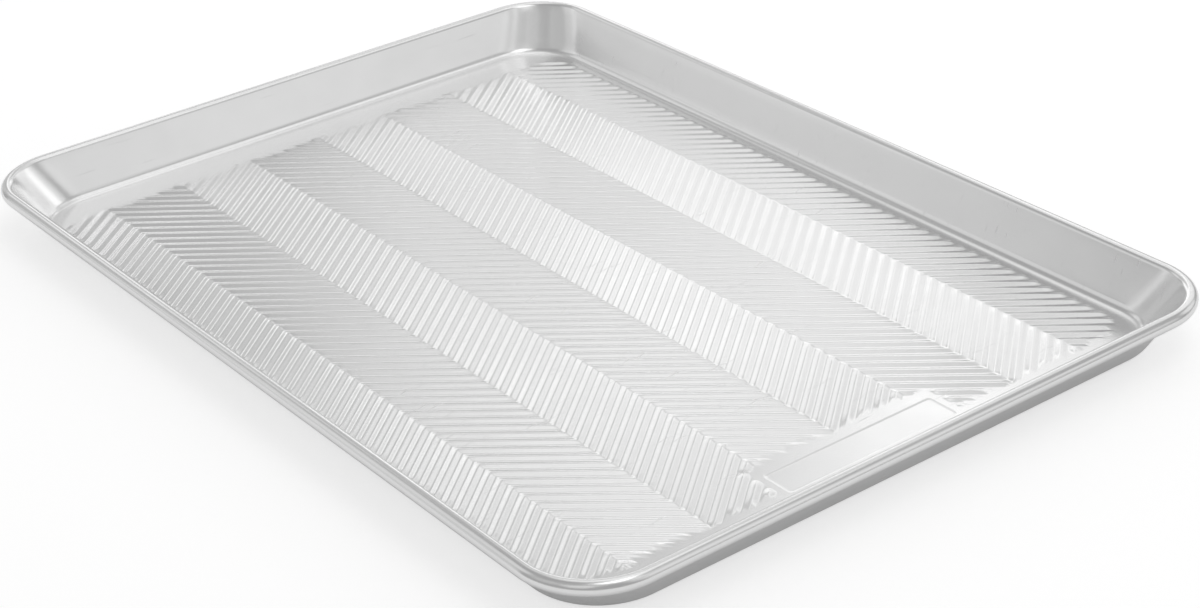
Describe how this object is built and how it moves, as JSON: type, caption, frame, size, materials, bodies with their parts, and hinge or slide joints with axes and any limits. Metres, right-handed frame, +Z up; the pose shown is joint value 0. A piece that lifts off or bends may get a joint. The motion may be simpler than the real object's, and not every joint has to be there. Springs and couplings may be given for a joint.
{
  "type": "jelly roll pan",
  "caption": "Low rectangular aluminium baking pan with flared walls, a rolled wire rim and a herringbone ribbed floor.",
  "frame": {"origin": "under the middle of the floor, on the surface that the pan stands on", "axes": "+X along the pan towards the short side with the bare plate place, +Y across the pan, +Z up"},
  "size_m": [0.4, 0.285, 0.02],
  "materials": {
    "natural_aluminium": "bright natural aluminium sheet, satin, uncoated",
    "galvanised_steel": "galvanised steel wire, hidden in the rolled rim"
  },
  "bodies": {
    "root": {"pan_body": "natural_aluminium", "rim_wire": "galvanised_steel"}
  },
  "joints": []
}
